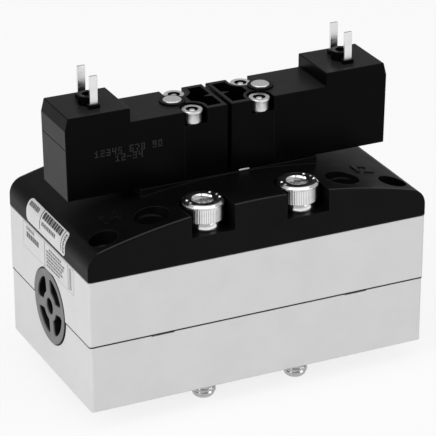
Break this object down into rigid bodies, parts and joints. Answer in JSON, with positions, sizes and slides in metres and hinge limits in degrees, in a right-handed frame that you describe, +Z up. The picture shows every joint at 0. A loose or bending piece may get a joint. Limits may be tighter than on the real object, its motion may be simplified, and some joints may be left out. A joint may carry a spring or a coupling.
{
  "type": "directional control valve",
  "caption": "Pneumatic spool valve for a base plate: light housing in two halves, arched black cover, twin solenoid pilots with blade contacts and override buttons.",
  "frame": {"origin": "centre of the underside, the face that seats on a base plate", "axes": "+X along the spool towards the right pilot, +Z up from the base plate, -Y the front face"},
  "size_m": [0.1142, 0.0636, 0.1044],
  "materials": {
    "light_grey_paint": "satin",
    "black_cover": "satin",
    "black_plastic": "satin",
    "grey_plastic": "satin",
    "white_plastic": "satin",
    "black_rubber": "matte",
    "pale_rubber": "matte",
    "bright_zinc": "bright zinc plate",
    "tinned_metal": "bright tin plate",
    "dark_steel": "dark",
    "spring_steel": "drawn wire",
    "aluminium": "turned",
    "copper": "enamelled winding",
    "brass": "turned"
  },
  "bodies": {
    "valve": {"connector_blades": "tinned_metal", "cover_gasket": "black_rubber", "cover_screws": "dark_steel", "housing_gasket": "black_rubber", "interface_gasket": "black_rubber", "left_armature_spring": "spring_steel", "left_armature_tube": "brass", "left_coil_block": "black_plastic", "left_connector_insert": "brass", "left_end_plug": "grey_plastic", "left_fixed_core": "dark_steel", "left_nozzle": "brass", "left_override_collar": "black_plastic", "left_override_spring": "spring_steel", "left_pilot_body": "black_plastic", "left_pilot_seal": "pale_rubber", "left_winding": "copper", "left_yoke": "dark_steel", "lower_housing": "light_grey_paint", "mounting_screws": "bright_zinc", "pilot_screws": "bright_zinc", "plug_seals": "black_rubber", "recess_plugs": "black_plastic", "right_armature_spring": "spring_steel", "right_armature_tube": "brass", "right_coil_block": "black_plastic", "right_connector_insert": "brass", "right_end_plug": "grey_plastic", "right_fixed_core": "dark_steel", "right_nozzle": "brass", "right_override_collar": "black_plastic", "right_override_spring": "spring_steel", "right_pilot_body": "black_plastic", "right_pilot_seal": "pale_rubber", "right_winding": "copper", "right_yoke": "dark_steel", "sleeve_seals": "black_rubber", "top_cover": "black_cover", "upper_housing": "light_grey_paint", "valve_sleeve": "aluminium"},
    "spool_group": {"spool": "aluminium", "spool_seals": "black_rubber", "left_piston": "white_plastic", "right_piston": "white_plastic", "piston_seals": "black_rubber"},
    "left_armature_group": {"left_armature": "dark_steel", "left_armature_seal": "black_rubber"},
    "right_armature_group": {"right_armature": "dark_steel", "right_armature_seal": "black_rubber"},
    "left_override": {"left_override_button": "bright_zinc"},
    "right_override": {"right_override_button": "bright_zinc"}
  },
  "joints": [
    {"name": "spool_slide", "type": "slide", "parent": "valve", "child": "spool_group", "axis": [1, 0, 0], "range_m": [0, 0.006]},
    {"name": "left_armature_slide", "type": "slide", "parent": "valve", "child": "left_armature_group", "axis": [-1, 0, 0], "range_m": [0, 0.0006], "stiffness_N_per_m": 400, "springref_m": -0.002, "deforming": ["left_armature_spring"]},
    {"name": "left_override_press", "type": "slide", "parent": "valve", "child": "left_override", "axis": [0, 0, -1], "range_m": [0, 0.001], "stiffness_N_per_m": 1500, "springref_m": -0.001, "deforming": ["left_override_spring"]},
    {"name": "right_armature_slide", "type": "slide", "parent": "valve", "child": "right_armature_group", "axis": [1, 0, 0], "range_m": [0, 0.0006], "stiffness_N_per_m": 400, "springref_m": -0.002, "deforming": ["right_armature_spring"]},
    {"name": "right_override_press", "type": "slide", "parent": "valve", "child": "right_override", "axis": [0, 0, -1], "range_m": [0, 0.001], "stiffness_N_per_m": 1500, "springref_m": -0.001, "deforming": ["right_override_spring"]}
  ]
}
